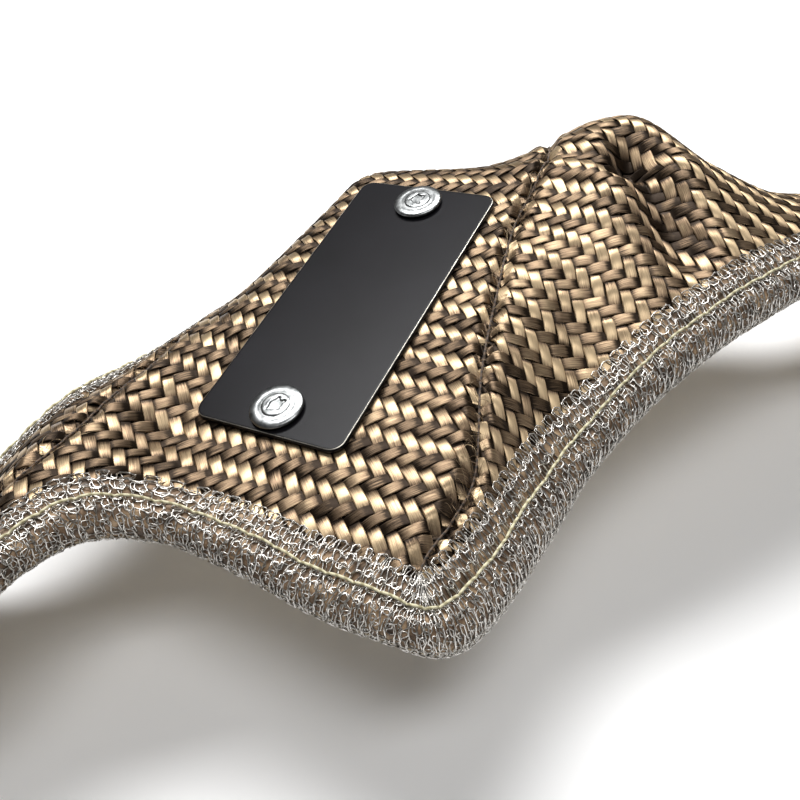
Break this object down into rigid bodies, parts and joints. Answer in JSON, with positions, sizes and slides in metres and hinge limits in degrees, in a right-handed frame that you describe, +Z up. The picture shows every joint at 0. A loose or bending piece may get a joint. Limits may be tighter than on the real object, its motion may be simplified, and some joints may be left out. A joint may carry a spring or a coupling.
{
  "type": "turbo heat blanket",
  "caption": "Arched padded heat shield of woven basalt cloth with a wire-mesh bound edge, a stitched seam and a riveted blank name plate; it lies over a turbine housing.",
  "frame": {"origin": "centre of the overall box in plan, on the surface that the two feet lie on", "axes": "+X along the blanket from the narrow arm to the wide arm, +Y away from the tab towards the long far side, +Z up"},
  "size_m": [0.31, 0.1742, 0.0738],
  "materials": {
    "basalt_twill": "two-by-two twill of flat bronze-brown basalt tows, silky along the fibre",
    "seam_thread": "dark brown twisted thread sunk in the seam",
    "needled_mat": "pale needled silica mat",
    "liner_cloth": "plain tan glass cloth",
    "knitted_steel_wire": "two layers of fine knitted stainless wire over brown cloth",
    "aramid_thread": "pale yellow aramid lockstitch",
    "black_anodised_plate": "satin black anodised sheet with a thin bare edge",
    "zinc_plated_steel": "bright zinc plate, lightly mottled"
  },
  "bodies": {
    "root": {"cover_panel_back": "basalt_twill", "cover_panel_tag": "basalt_twill", "cover_panel_right": "basalt_twill", "arm_seam_thread": "seam_thread", "dart_seam_thread": "seam_thread", "insulation_mat": "needled_mat", "inner_liner": "liner_cloth", "edge_binding": "knitted_steel_wire", "binding_needle_thread": "aramid_thread", "name_plate": "black_anodised_plate", "rivet_washer_near": "zinc_plated_steel", "rivet_near": "zinc_plated_steel", "rivet_washer_far": "zinc_plated_steel", "rivet_far": "zinc_plated_steel"}
  },
  "joints": []
}
